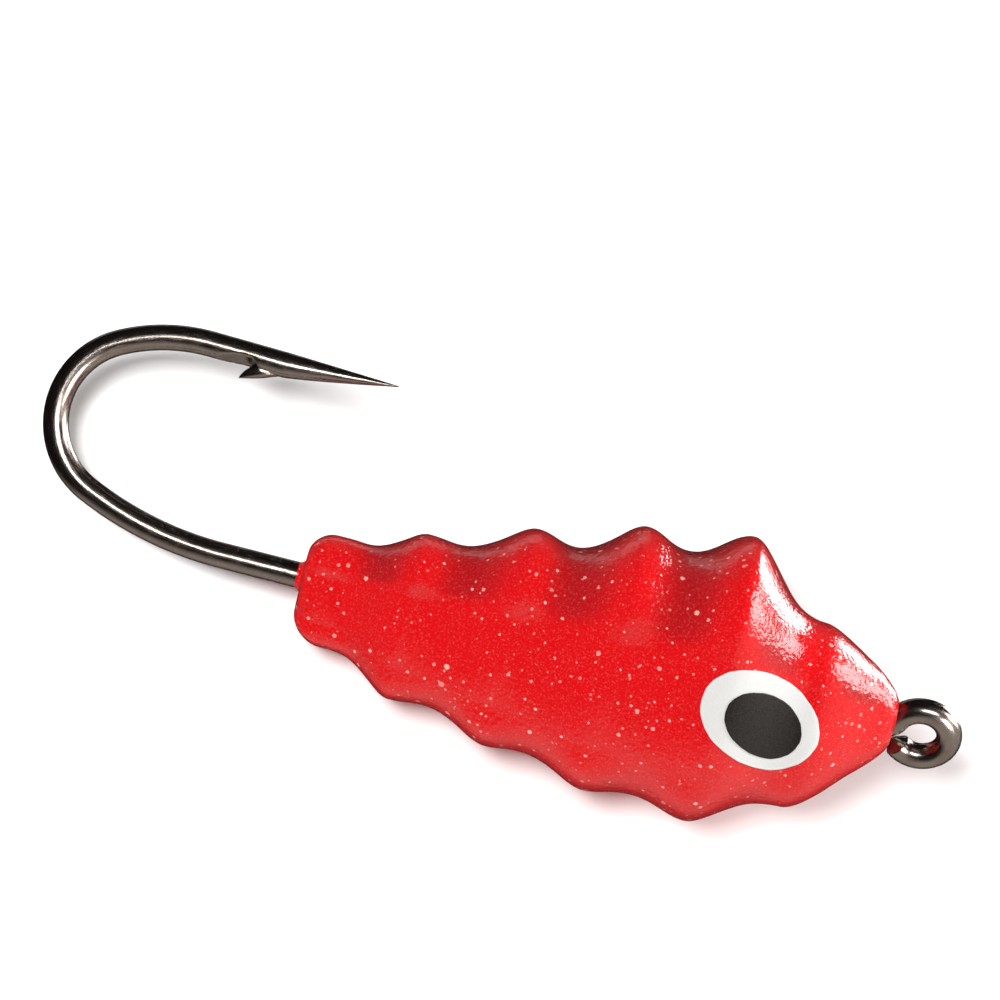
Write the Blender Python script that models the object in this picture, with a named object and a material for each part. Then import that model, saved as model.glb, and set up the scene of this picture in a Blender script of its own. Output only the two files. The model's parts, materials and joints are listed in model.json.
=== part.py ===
"""A painted jig head: a ringed lead body cast round a one-piece hook wire.

The body is drawn in a design frame, in millimetres: +X runs along the shank from the tail face to the
nose, +Z points to the back, which is the side that the hook point is on, and Y is across the flanks.
An empty named lying_pose then turns everything into metres and lays it on its flank, as a jig rests on
a table: the table is Z = 0, and the nose points along +X.
"""

import math

import bmesh
import bpy
import numpy as np
from mathutils import Matrix, Vector

MM = 0.001

# Where the rings stand along the body.
TAIL_LIP = 0.95
FIRST_RING = 2.80
RING_PITCH = 2.633
RING_COUNT = 4
SHOULDER_GAP = 2.25
NOSE_GAP = 2.25

# Half sizes at the tail lip, at each ring, at the head's shoulder and at the nose end.
BACK = (1.20, 1.80, 2.60, 3.33, 3.75, 2.10, 1.20)
BELLY = (1.62, 2.45, 2.98, 3.45, 3.57, 2.63, 1.00)
FLANK = (1.25, 2.12, 2.73, 3.35, 3.68, 2.38, 1.12)

# Depth of the groove between each of those places and the next.
BACK_GROOVE = (0.20, 0.35, 0.50, 0.51, 0.23, 0.04)
BELLY_GROOVE = (0.16, 0.27, 0.24, 0.24, 0.16, 0.0)
FLANK_GROOVE = (0.15, 0.30, 0.36, 0.38, 0.17, 0.0)

# The section: a squared oval, wider towards the back. The rings stand out of the back and the belly
# edge and die away on the flanks, between these heights as shares of the half height.
SQUARENESS = 2.6
BACKWARD_TAPER = 0.18
BACK_RINGS_FADE = (0.10, 0.40)
BELLY_RINGS_FADE = (0.70, 0.95)
GROOVE_FULLNESS = 0.30

# Radius of the rounded edge of each end face, at the back, the flanks and the belly.
TAIL_ROUND = (0.60, 0.35, 0.85)
NOSE_ROUND = (0.90, 0.35, 0.70)

# Coats of paint, from the outside in, and the clearance that keeps each solid off the next.
CLEAR_COAT = 0.06
COLOUR_COAT = 0.06
BASE_COAT = 0.05
COAT_FIT = 0.01

# The hook wire. Each bend is a radius and an angle in degrees, in order from the tail face.
WIRE_DIAMETER = 0.65
WIRE_FIT = 0.02
SHANK_BEHIND_TAIL = 2.10
BENDS = ((9.0, 24.0), (2.085, 128.0), (4.56, 29.5))
POINT_LEG = 4.80
POINT_GRIND = 2.90
POINT_TIP_RADIUS = 0.02
POINT_OUTWARD_SHARE = 0.81

# The barb is a chip raised from the wire's inner side.
BARB_FROM_TIP = 3.94
BARB_LENGTH = 0.80
BARB_RISE = 0.31
BARB_CUT = 0.26

# The line eye: a ring in a plane turned from the hook's. A short neck joins it to the shank inside the
# nose, and the tag end closes up to the neck.
EYE_RADIUS = 0.71
EYE_STANDOFF = 0.74
EYE_NECK_RADIUS = 0.38
EYE_TWIST = 53.4
TAG_GAP = 0.03
TAG_TIP_RADIUS = 0.10

# The painted eyes: full lengths of the oval, where it sits on the flank, and its tilt.
EYE_SPOT = (3.12, 2.30)
EYE_SPOT_BEHIND_NOSE = 3.39
EYE_SPOT_BELOW_SHANK = 0.59
EYE_SPOT_TILT = -13.7
PUPIL = (2.06, 1.52)
PUPIL_FORWARD = 0.10
PUPIL_DOWN = 0.10
PAINT_SPOT = 0.04

# How finely the solids are drawn.
AROUND_BODY = 24
STEPS_PER_GAP = (5, 5, 5, 5, 4, 2)
END_ROUND_ANGLES = (0.0, 30.0, 60.0, 90.0)
WIRE_SIDES = 10
ARC_STEP = 13.0
SPOT_SIDES = 28

WIRE_RADIUS = WIRE_DIAMETER / 2
RINGS = [FIRST_RING + RING_PITCH * i for i in range(RING_COUNT)]
SHOULDER = RINGS[-1] + SHOULDER_GAP
BODY_LENGTH = SHOULDER + NOSE_GAP
STATIONS = np.array([TAIL_LIP, *RINGS, SHOULDER, BODY_LENGTH])

# Depths below the finished surface at which one coat ends and the next begins.
COLOUR_TOP = CLEAR_COAT + COAT_FIT
BASE_TOP = COLOUR_TOP + COLOUR_COAT + COAT_FIT
LEAD_TOP = BASE_TOP + BASE_COAT + COAT_FIT

MATERIALS = {
    "black_nickel_wire": ((0.085, 0.078, 0.075), 0.20, 1.0),
    "cast_lead": ((0.33, 0.34, 0.36), 0.55, 1.0),
    "white_base_paint": ((0.88, 0.88, 0.86), 0.50, 0.0),
    "red_paint": ((0.72, 0.014, 0.018), 0.30, 0.0),
    "clear_glitter_paint": ((0.78, 0.020, 0.024), 0.12, 0.0),
    "eye_white_paint": ((0.90, 0.90, 0.88), 0.35, 0.0),
    "pupil_black_paint": ((0.030, 0.027, 0.025), 0.35, 0.0),
}


def ease(share):
    """A smooth rise from 0 to 1, level at both ends."""
    share = np.clip(share, 0.0, 1.0)
    return share * share * (3.0 - 2.0 * share)


def eased_between(x, places, values):
    """The values joined by smooth rises that are level at each place."""
    x, places, values = np.asarray(x, float), np.asarray(places), np.asarray(values)
    i = np.clip(np.searchsorted(places, x) - 1, 0, len(places) - 2)
    share = (x - places[i]) / (places[i + 1] - places[i])
    return values[i] + (values[i + 1] - values[i]) * ease(share)


def groove_share(x):
    """0 on each ring, 1 half way to the next."""
    i = np.clip(np.searchsorted(STATIONS, x) - 1, 0, len(STATIONS) - 2)
    turn = math.pi * np.clip((x - STATIONS[i]) / (STATIONS[i + 1] - STATIONS[i]), 0.0, 1.0)
    return np.sin(turn) ** 2 * (1.0 + GROOVE_FULLNESS * np.cos(turn) ** 2)


def half_size(x, crests, grooves, ringed):
    """Half size at x. Where ringed is 1 the surface rises to the rings, and where it is 0 it stays level
    with the bottom of the grooves."""
    middles = (STATIONS[1:] + STATIONS[:-1]) / 2
    depth = eased_between(x, middles, grooves)
    return eased_between(x, STATIONS, crests) - depth * (1.0 - ringed * (1.0 - groove_share(x)))


def section_point(x, angle):
    """The body's surface at x, at an angle round the shank: 0 is the left flank and a quarter turn is
    the back. The section is |y / flank|^n + |z / height|^n = 1, its width growing towards the back."""
    c, s = np.cos(angle), np.sin(angle)
    reach = (np.abs(c) ** SQUARENESS + np.abs(s) ** SQUARENESS) ** (-1.0 / SQUARENESS)
    height = reach * s
    back_low, back_high = BACK_RINGS_FADE
    belly_low, belly_high = BELLY_RINGS_FADE
    ringed = np.where(
        height > 0,
        ease((height - back_low) / (back_high - back_low)),
        ease((-height - belly_low) / (belly_high - belly_low)),
    )
    back = half_size(x, BACK, BACK_GROOVE, ringed)
    belly = half_size(x, BELLY, BELLY_GROOVE, ringed)
    flank = half_size(x, FLANK, FLANK_GROOVE, ringed)
    y = flank * reach * c * (1.0 + BACKWARD_TAPER * height)
    z = np.where(height > 0, back, belly) * height
    return y, z


def end_round(angle, sizes):
    """Radius of an end face's rounded edge at an angle round the body."""
    back, flank, belly = sizes
    s = np.sin(angle)
    return flank * (1.0 - s * s) + np.where(s > 0, back, belly) * s * s


def body_rows():
    """The body's surface as rows of points from the tail face to the nose face. Within an end's rounded
    edge a row is a quarter circle's step, and between the ends a row is a section at one x. The first
    angle is half a step off, so that a facet and not an edge faces straight out of each flank."""
    angle = np.linspace(0.0, 2.0 * math.pi, AROUND_BODY, endpoint=False) + math.pi / AROUND_BODY
    tail, nose = end_round(angle, TAIL_ROUND), end_round(angle, NOSE_ROUND)
    edge = [math.radians(a) for a in END_ROUND_ANGLES]
    rows = [(tail * (1.0 - math.cos(a)), tail * (1.0 - math.sin(a))) for a in edge]
    ends = [*STATIONS[:-1], BODY_LENGTH - max(NOSE_ROUND) - 0.1]
    for low, high, steps in zip(ends[:-1], ends[1:], STEPS_PER_GAP):
        rows += [(np.full_like(angle, x), 0.0 * angle) for x in np.linspace(low, high, steps, endpoint=False)]
    rows.append((np.full_like(angle, ends[-1]), 0.0 * angle))
    rows += [
        (BODY_LENGTH - nose * (1.0 - math.cos(a)), nose * (1.0 - math.sin(a)))
        for a in reversed(edge)
    ]
    made = []
    for x, cut in rows:
        y, z = section_point(x, angle)
        keep = 1.0 - cut / np.hypot(y, z)
        made.append(np.stack([x, y * keep, z * keep], axis=1))
    return np.array(made)


def inset_rows(rows, depth):
    """The rows moved inwards along the surface's normals."""
    before, after = rows[:-2], rows[2:]
    along = np.concatenate([[rows[1] - rows[0]], after - before, [rows[-1] - rows[-2]]])
    along[[0, -1], :, 0] = 0.0
    around = np.roll(rows, -1, axis=1) - np.roll(rows, 1, axis=1)
    normal = np.cross(around, along)
    normal /= np.linalg.norm(normal, axis=2, keepdims=True)
    return rows - normal * depth


def new_mesh(name, points, faces):
    mesh = bpy.data.meshes.new(name)
    mesh.from_pydata([Vector(p) * MM for p in points], [], faces)
    mesh.update()
    return mesh


def grid_faces(row_count, around, start=0):
    """Faces of a closed-round grid, facing out where the rows run along +X and turn from +Y to +Z."""
    faces = []
    for i in range(row_count - 1):
        for j in range(around):
            k = (j + 1) % around
            a, b = start + i * around, start + (i + 1) * around
            faces += [(a + j, a + k, b + k), (a + j, b + k, b + j)]
    return faces


def body_skin(depth):
    """Points and faces of the closed surface at a depth below the finished one."""
    rows = body_rows()
    if depth:
        rows = inset_rows(rows, depth)
    around = rows.shape[1]
    points = [tuple(p) for p in rows.reshape(-1, 3)]
    faces = grid_faces(len(rows), around)
    for row, turned in ((0, True), (len(rows) - 1, False)):
        centre = len(points)
        points.append((rows[row][:, 0].mean(), 0.0, 0.0))
        for j in range(around):
            a, b = row * around + j, row * around + (j + 1) % around
            faces.append((centre, b, a) if turned else (centre, a, b))
    return points, faces


def arc_points(centre, radius, start, end):
    """Points on an arc in a plane, both ends included, with angles in degrees."""
    steps = max(1, math.ceil(abs(end - start) / ARC_STEP))
    angles = np.radians(np.linspace(start, end, steps + 1))
    return [(centre[0] + radius * math.cos(a), centre[1] + radius * math.sin(a)) for a in angles]


def eye_ring_path():
    """The line eye in its own plane, from the tag end, round the ring and down the neck to the shank, with
    the wire's radius at each point and the ring's middle. The neck touches the ring and the shank's line.
    The tag end is pinched thinner towards its tip, so that it stays clear of the neck."""
    centre_x = BODY_LENGTH + EYE_STANDOFF
    reach = EYE_RADIUS + EYE_NECK_RADIUS
    lean = math.degrees(math.asin(EYE_NECK_RADIUS / reach))
    neck_centre = (centre_x - reach * math.cos(math.radians(lean)), EYE_NECK_RADIUS)
    neck = arc_points(neck_centre, EYE_NECK_RADIUS, -lean, -90.0)
    path, radii = [], []
    for degrees in range(200, 250, 6):
        point = arc_points((centre_x, 0.0), EYE_RADIUS, degrees, degrees)[0]
        room = min(math.dist(point, other) for other in neck) - WIRE_RADIUS - TAG_GAP
        if TAG_TIP_RADIUS <= room < WIRE_RADIUS:
            path.append(point)
            radii.append(room)
            last = degrees
    path += arc_points((centre_x, 0.0), EYE_RADIUS, last + 6, 540.0 - lean) + neck[1:]
    radii += [WIRE_RADIUS] * (len(path) - len(radii))
    return path, radii, centre_x


def bend_path():
    """The hook behind the tail face, as x and z, and where its straight point leg starts and heads."""
    x, z, heading = -SHANK_BEHIND_TAIL, 0.0, 0.0
    path = [(x, z)]
    for radius, degrees in BENDS:
        steps = max(1, math.ceil(degrees / ARC_STEP))
        for turn in np.radians(np.linspace(0.0, degrees, steps + 1))[1:]:
            path.append(
                (
                    x - radius * (math.sin(heading + turn) - math.sin(heading)),
                    z + radius * (math.cos(heading) - math.cos(heading + turn)),
                )
            )
        x, z = path[-1]
        heading += math.radians(degrees)
    return path, (x, z), (-math.cos(heading), math.sin(heading))


def on_point_leg(along, outward):
    """A point in the hook's plane, measured along the point leg and outwards, away from the shank."""
    _, start, ahead = bend_path()
    out = (-ahead[1], ahead[0])
    return (
        start[0] + ahead[0] * along + out[0] * outward,
        start[1] + ahead[1] * along + out[1] * outward,
    )


def point_path():
    """The ground point: centre and radius down to the tip, with the grinding on the inner side."""
    made = []
    for share in (0.0, 0.25, 0.5, 0.75, 0.93, 1.0):
        radius = WIRE_RADIUS + (POINT_TIP_RADIUS - WIRE_RADIUS) * share
        outward = POINT_OUTWARD_SHARE * (WIRE_RADIUS - radius)
        made.append((on_point_leg(POINT_LEG - POINT_GRIND * (1.0 - share), outward), radius))
    return made


def turned_plane(x, offset):
    """A point of the line eye's plane in the design frame."""
    twist = math.radians(EYE_TWIST)
    return (x, -offset * math.cos(twist), offset * math.sin(twist))


def hook_path():
    """The whole wire's centre line and radii, from the tag end by the nose to the tip of the point."""
    ring, radii, _ = eye_ring_path()
    path = [turned_plane(x, offset) for x, offset in ring]
    bend, _, _ = bend_path()
    path += [(x, 0.0, z) for x, z in bend]
    radii += [WIRE_RADIUS] * (len(path) - len(radii))
    for (x, z), radius in point_path():
        path.append((x, 0.0, z))
        radii.append(radius)
    return path, radii


def wire_solid(path, radii):
    """A closed round tube along a path, its rings carried along without twisting."""
    path = [Vector(p) for p in path]
    ways = [(b - a).normalized() for a, b in zip(path[:-1], path[1:])]
    tangents = [ways[0]] + [(a + b).normalized() for a, b in zip(ways[:-1], ways[1:])] + [ways[-1]]
    side = tangents[0].orthogonal().normalized()
    points, faces = [], []
    for i, (centre, radius, tangent) in enumerate(zip(path, radii, tangents)):
        side = (side - tangent * side.dot(tangent)).normalized()
        other = tangent.cross(side)
        stretch = 1.0
        if 0 < i < len(path) - 1:
            stretch = 1.0 / math.sqrt((1.0 + ways[i - 1].dot(ways[i])) / 2.0)
            across = (ways[i] - ways[i - 1])
            across = across.normalized() if across.length > 1e-6 else None
        for j in range(WIRE_SIDES):
            a = 2.0 * math.pi * j / WIRE_SIDES
            spoke = (side * math.cos(a) + other * math.sin(a)) * radius
            if stretch > 1.0001 and across:
                spoke += across * spoke.dot(across) * (stretch - 1.0)
            points.append(tuple(centre + spoke))
    faces = grid_faces(len(path), WIRE_SIDES)
    last = (len(path) - 1) * WIRE_SIDES
    faces.append(tuple(range(WIRE_SIDES))[::-1])
    faces.append(tuple(range(last, last + WIRE_SIDES)))
    return points, faces


def prism(outline, low, high):
    """A solid between two planes across Y, with an outline in the hook's plane."""
    count = len(outline)
    points = [(x, low, z) for x, z in outline] + [(x, high, z) for x, z in outline]
    faces = [tuple(range(count)), tuple(range(2 * count - 1, count - 1, -1))]
    faces += [(i, i + count, (i + 1) % count + count, (i + 1) % count) for i in range(count)]
    return points, faces


def hull_solid(name, points):
    """The convex solid that holds all the points."""
    work = bmesh.new()
    for p in points:
        work.verts.new(Vector(p) * MM)
    made = bmesh.ops.convex_hull(work, input=work.verts)
    loose = [v for v in made["geom_interior"] if isinstance(v, bmesh.types.BMVert)]
    bmesh.ops.delete(work, geom=loose, context="VERTS")
    bmesh.ops.recalc_face_normals(work, faces=work.faces)
    mesh = bpy.data.meshes.new(name)
    work.to_mesh(mesh)
    work.free()
    return mesh


def face_out(mesh):
    """Turns a closed mesh's faces outwards."""
    work = bmesh.new()
    work.from_mesh(mesh)
    bmesh.ops.recalc_face_normals(work, faces=work.faces)
    work.to_mesh(mesh)
    work.free()


def material(name):
    colour, roughness, metallic = MATERIALS[name]
    made = bpy.data.materials.get(name) or bpy.data.materials.new(name)
    made.use_nodes = True
    shader = made.node_tree.nodes["Principled BSDF"]
    shader.inputs["Base Color"].default_value = (*colour, 1.0)
    shader.inputs["Roughness"].default_value = roughness
    shader.inputs["Metallic"].default_value = metallic
    made.diffuse_color = (*colour, 1.0)
    return made


def add_object(name, mesh, pose, material_name=None):
    made = bpy.data.objects.new(name, mesh)
    bpy.context.scene.collection.objects.link(made)
    made.parent = pose
    if material_name:
        mesh.materials.append(material(material_name))
    return made


def add_tool(name, mesh, pose):
    """A solid that only cuts or adds to another, and isn't part of the object."""
    made = add_object(name, mesh, pose)
    made.hide_render = True
    made.display_type = "WIRE"
    return made


def combine(target, tool, operation):
    modifier = target.modifiers.new(f"{operation.lower()}_{tool.name}", "BOOLEAN")
    modifier.operation = operation
    modifier.object = tool
    modifier.solver = "EXACT"


def shade_round(mesh, sharp_degrees=50.0):
    mesh.shade_smooth()
    mesh.set_sharp_from_angle(angle=math.radians(sharp_degrees))


def lying_matrix(points, weights_at):
    """The pose in which the object rests on its left flank on a table.

    Of all the flats of its convex hull that its centre of mass stands over, the resting one is the flat
    that faces most nearly out of the left flank. The table goes under it as Z = 0, the nose points
    along +X, and the box's centre stands over the origin."""
    work = bmesh.new()
    for p in points:
        work.verts.new(Vector(p))
    bmesh.ops.convex_hull(work, input=work.verts)
    bmesh.ops.recalc_face_normals(work, faces=work.faces)
    centre = Vector(weights_at)
    resting = None
    for face in work.faces:
        a, b, c = (v.co.copy() for v in face.verts)
        foot = centre - face.normal * (centre - a).dot(face.normal)
        edges = ((a, b), (b, c), (c, a))
        inside = all((q - p).cross(foot - p).dot(face.normal) >= 0.0 for p, q in edges)
        if inside and (resting is None or face.normal.y > resting[0].y):
            resting = (face.normal.copy(), a)
    work.free()
    down, contact = resting
    ahead = (Vector((1.0, 0.0, 0.0)) - down * down.x).normalized()
    turn = Matrix((ahead, (-down).cross(ahead), -down)).to_4x4()
    placed = np.array([turn @ Vector(p) for p in points])
    middle = (placed.min(axis=0) + placed.max(axis=0)) / 2
    table = (turn @ contact).z
    return Matrix.Translation(Vector((-middle[0], -middle[1], -table)) * MM) @ turn


def centre_of_volume(points, faces):
    """Centre of a closed mesh's volume, as the sum of tetrahedra that share the first point."""
    points = np.array(points)
    total, moment = 0.0, np.zeros(3)
    for face in faces:
        for b, c in zip(face[1:-1], face[2:]):
            corners = points[[face[0], b, c]]
            volume = np.linalg.det(corners) / 6.0
            total += volume
            moment += volume * corners.sum(axis=0) / 4.0
    return moment / total


def lay_down(pose, outside):
    """Poses the finished object on its flank, from the points of its outside solids."""
    seen = bpy.context.evaluated_depsgraph_get()
    points = [tuple(v.co / MM) for solid in outside for v in solid.evaluated_get(seen).data.vertices]
    centre = centre_of_volume(*body_skin(0.0))
    pose.matrix_world = lying_matrix(points, centre)


def make_hook(pose):
    """The one-piece wire: tag end, line eye, shank, bend, barb and point."""
    wire = new_mesh("hook", *wire_solid(*hook_path()))
    hook = add_object("hook", wire, pose, "black_nickel_wire")

    inner = -WIRE_RADIUS
    tip = POINT_LEG - BARB_FROM_TIP
    heel = tip + BARB_LENGTH
    root = on_point_leg(tip + 0.40, inner + BARB_CUT)
    barb_tip = on_point_leg(tip, inner - BARB_RISE)
    mouth = [on_point_leg(tip + 0.05, inner - 0.01), on_point_leg(tip - 0.03, inner - BARB_RISE - 0.05)]
    notch = new_mesh("barb_notch", *prism([root, *mouth], -WIRE_RADIUS, WIRE_RADIUS))
    face_out(notch)
    combine(hook, add_tool("barb_notch", notch, pose), "DIFFERENCE")

    chip = []
    for (x, z), half in (
        (barb_tip, 0.03),
        (on_point_leg(heel, inner + 0.02), 0.17),
        (on_point_leg(heel + 0.30, inner + 0.15), 0.12),
        (on_point_leg(tip + 0.42, inner + BARB_CUT), 0.20),
        (on_point_leg(tip + 0.38, inner + 0.10), 0.21),
    ):
        chip += [(x, -half, z), (x, half, z)]
    combine(hook, add_tool("barb_chip", hull_solid("barb_chip", chip), pose), "UNION")
    shade_round(wire)
    return hook


def make_wire_tools(pose):
    """The wire's channel through the body, which follows the neck of the line eye out of the nose."""
    ring, _, _ = eye_ring_path()
    path = [turned_plane(x, offset) for x, offset in ring[len(ring) // 2 :]]
    path.append((-1.0, 0.0, 0.0))
    channel = new_mesh("wire_channel", *wire_solid(path, [WIRE_RADIUS + WIRE_FIT] * len(path)))
    face_out(channel)
    return [add_tool("wire_channel", channel, pose)]


def make_body(pose, wire_tools):
    """The lead casting and the coats of paint over it, each let through by the wire."""
    lead = new_mesh("lead_body", *body_skin(LEAD_TOP))
    solids = [add_object("lead_body", lead, pose, "cast_lead")]
    coats = (
        ("base_coat", BASE_TOP, BASE_COAT, "white_base_paint"),
        ("colour_coat", COLOUR_TOP, COLOUR_COAT, "red_paint"),
        ("clear_coat", 0.0, CLEAR_COAT, "clear_glitter_paint"),
    )
    for name, top, thickness, paint in coats:
        points, faces = body_skin(top)
        inner_points, inner_faces = body_skin(top + thickness)
        start = len(points)
        faces = faces + [tuple(start + i for i in face[::-1]) for face in inner_faces]
        solids.append(add_object(name, new_mesh(name, points + inner_points, faces), pose, paint))
    for solid in solids:
        shade_round(solid.data)
        for tool in wire_tools:
            combine(solid, tool, "DIFFERENCE")
    return solids


def spot_outline(centre, lengths):
    """An oval in the hook's plane, tilted down towards the nose."""
    tilt = math.radians(EYE_SPOT_TILT)
    outline = []
    for j in range(SPOT_SIDES):
        a = 2.0 * math.pi * j / SPOT_SIDES
        u, v = lengths[0] / 2 * math.cos(a), lengths[1] / 2 * math.sin(a)
        outline.append(
            (
                centre[0] + u * math.cos(tilt) - v * math.sin(tilt),
                centre[1] + u * math.sin(tilt) + v * math.cos(tilt),
            )
        )
    return outline


def make_painted_eyes(pose):
    """A white oval and a black pupil on each flank, each a thin layer that follows the body."""
    centre = (BODY_LENGTH - EYE_SPOT_BEHIND_NOSE, -EYE_SPOT_BELOW_SHANK)
    pupil_centre = (centre[0] + PUPIL_FORWARD, centre[1] - PUPIL_DOWN)
    white_top = COAT_FIT + PAINT_SPOT
    layers = (
        ("eye_white", spot_outline(centre, EYE_SPOT), COAT_FIT, "eye_white_paint"),
        ("pupil", spot_outline(pupil_centre, PUPIL), white_top + COAT_FIT, "pupil_black_paint"),
    )
    spots = []
    for name, outline, height, paint in layers:
        under = add_tool(f"{name}_under", new_mesh(f"{name}_under", *body_skin(-height)), pose)
        top = body_skin(-height - PAINT_SPOT)
        over = add_tool(f"{name}_over", new_mesh(f"{name}_over", *top), pose)
        for side, word in ((1.0, "left"), (-1.0, "right")):
            mesh = new_mesh(f"{name}_{word}", *prism(outline, side * 0.9, side * 5.0))
            face_out(mesh)
            spot = add_object(f"{name}_{word}", mesh, pose, paint)
            combine(spot, over, "INTERSECT")
            combine(spot, under, "DIFFERENCE")
            spots.append(spot)
    return spots


def main():
    for old in list(bpy.data.objects):
        bpy.data.objects.remove(old)
    pose = bpy.data.objects.new("lying_pose", None)
    bpy.context.scene.collection.objects.link(pose)
    hook = make_hook(pose)
    coats = make_body(pose, make_wire_tools(pose))
    spots = make_painted_eyes(pose)
    lay_down(pose, [hook, coats[-1], *spots])


main()
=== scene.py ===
"""Looks of a painted jig head: a ringed lead body under glitter paint, cast round a plated hook wire.

Every shape is drawn in a design frame: +X runs along the shank from the tail face to the nose, +Z points to
the back, where the hook point is, and Y is across the flanks. Sizes are in metres.
"""

import json
import math

import bpy
import numpy as np
from mathutils import Matrix, Vector

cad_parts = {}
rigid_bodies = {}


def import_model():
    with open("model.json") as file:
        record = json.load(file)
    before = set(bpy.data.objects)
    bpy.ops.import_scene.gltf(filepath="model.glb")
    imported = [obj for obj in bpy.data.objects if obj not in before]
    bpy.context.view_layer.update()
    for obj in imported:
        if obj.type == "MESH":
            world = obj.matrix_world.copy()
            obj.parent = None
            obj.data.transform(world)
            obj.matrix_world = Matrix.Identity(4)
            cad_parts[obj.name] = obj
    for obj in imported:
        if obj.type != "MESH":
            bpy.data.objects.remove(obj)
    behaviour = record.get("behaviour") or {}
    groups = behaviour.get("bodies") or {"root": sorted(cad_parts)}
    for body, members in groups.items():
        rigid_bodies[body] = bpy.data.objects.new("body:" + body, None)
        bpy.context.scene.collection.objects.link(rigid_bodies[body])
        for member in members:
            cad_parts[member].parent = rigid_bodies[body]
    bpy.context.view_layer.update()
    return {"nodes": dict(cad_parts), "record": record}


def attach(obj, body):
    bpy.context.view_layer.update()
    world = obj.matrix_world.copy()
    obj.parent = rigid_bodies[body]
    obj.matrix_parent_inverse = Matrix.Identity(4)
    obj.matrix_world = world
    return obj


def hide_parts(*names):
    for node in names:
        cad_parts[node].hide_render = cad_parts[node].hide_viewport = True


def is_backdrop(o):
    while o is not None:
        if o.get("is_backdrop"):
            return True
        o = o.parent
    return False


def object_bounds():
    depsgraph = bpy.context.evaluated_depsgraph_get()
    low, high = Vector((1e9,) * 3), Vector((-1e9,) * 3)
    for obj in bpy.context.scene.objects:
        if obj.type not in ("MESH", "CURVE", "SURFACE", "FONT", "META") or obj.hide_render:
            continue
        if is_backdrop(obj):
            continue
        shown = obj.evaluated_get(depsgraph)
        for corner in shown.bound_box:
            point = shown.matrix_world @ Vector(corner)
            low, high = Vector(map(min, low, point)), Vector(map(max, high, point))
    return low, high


bl_info = {
    "name": "Painted jig head",
    "version": (1, 0, 0),
    "blender": (4, 5, 0),
    "location": "View3D > Sidebar > Jig head",
    "description": "Builds the painted body, the plated hook and the stage of a jig head",
    "category": "Add Mesh",
}

MM = 0.001
RING_COUNT = 4
BODY_AROUND, BODY_ALONG = 240, 300
WIRE_AROUND, WIRE_STEP = 48, 0.06 * MM
NOSE_DIP = 14.3
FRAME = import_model()


def design_frame(record):
    """Origin and axes of the design frame, from the two mounts: the tail face's axis points back along the
    shank, its point stands off the shank towards the back, and the line eye is on the shank's line."""
    mounts = {mount["name"]: mount for mount in record["mounts"]}
    tail = np.array(mounts["tail_face"]["pos_m"])
    ring = np.array(mounts["line_eye"]["pos_m"])
    ahead = -np.array(mounts["tail_face"]["axis"])
    ahead /= np.linalg.norm(ahead)
    origin = ring - ahead * np.dot(ring - tail, ahead)
    back = tail - origin
    back /= np.linalg.norm(back)
    return origin, np.array([ahead, np.cross(back, ahead), back])


ORIGIN, AXES = design_frame(FRAME["record"])


def placed(points):
    """Points of the design frame, moved into the part's own frame."""
    return ORIGIN + np.asarray(points, float) @ AXES


def srgb(code):
    """The linear colour of an sRGB hex code."""
    parts = [int(code[i : i + 2], 16) / 255.0 for i in (1, 3, 5)]
    return tuple(c / 12.92 if c <= 0.04045 else ((c + 0.055) / 1.055) ** 2.4 for c in parts)


def length(name, description, default):
    """A size that the user can change."""
    return bpy.props.FloatProperty(
        name=name, description=description, default=default, unit="LENGTH", precision=6
    )


def lengths(name, description, default):
    """A row of sizes that the user can change."""
    return bpy.props.FloatVectorProperty(
        name=name,
        description=description,
        default=[value * MM for value in default],
        size=len(default),
        unit="LENGTH",
        precision=6,
    )


def angle(name, description, degrees):
    """A turn that the user can change."""
    return bpy.props.FloatProperty(
        name=name, description=description, default=math.radians(degrees), subtype="ANGLE"
    )


def colour(name, description, code):
    """A colour that the user can change."""
    return bpy.props.FloatVectorProperty(
        name=name, description=description, default=srgb(code), size=3, subtype="COLOR", min=0.0, max=1.0
    )


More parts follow.
